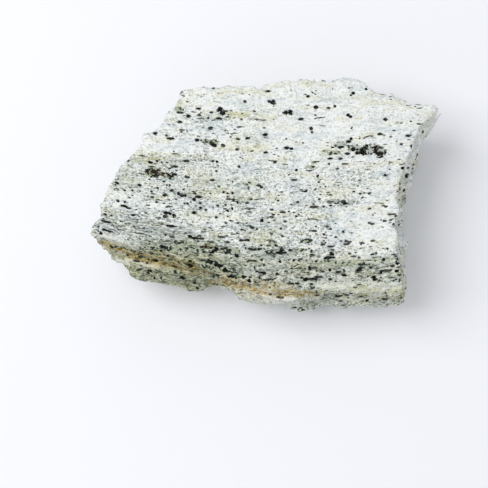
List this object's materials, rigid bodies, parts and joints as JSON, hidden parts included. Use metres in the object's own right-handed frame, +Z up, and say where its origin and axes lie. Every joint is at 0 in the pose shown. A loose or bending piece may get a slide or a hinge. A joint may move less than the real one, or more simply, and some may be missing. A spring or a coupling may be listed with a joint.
{
  "type": "mica schist specimen",
  "caption": "Broken hand-sized slab of pale, dark-flecked mica schist, a natural rock specimen that lies on its back and is displayed or handled.",
  "frame": {"origin": "centre of the slab's footprint, on the surface that it rests on", "axes": "+X along the streaks of the rock, +Y across its layers, +Z up out of the broad face"},
  "size_m": [0.0916, 0.06, 0.0264],
  "materials": {
    "mica_schist": "rough broken rock with a faint mica sheen"
  },
  "bodies": {
    "root": {"schist_slab": "mica_schist"}
  },
  "joints": []
}
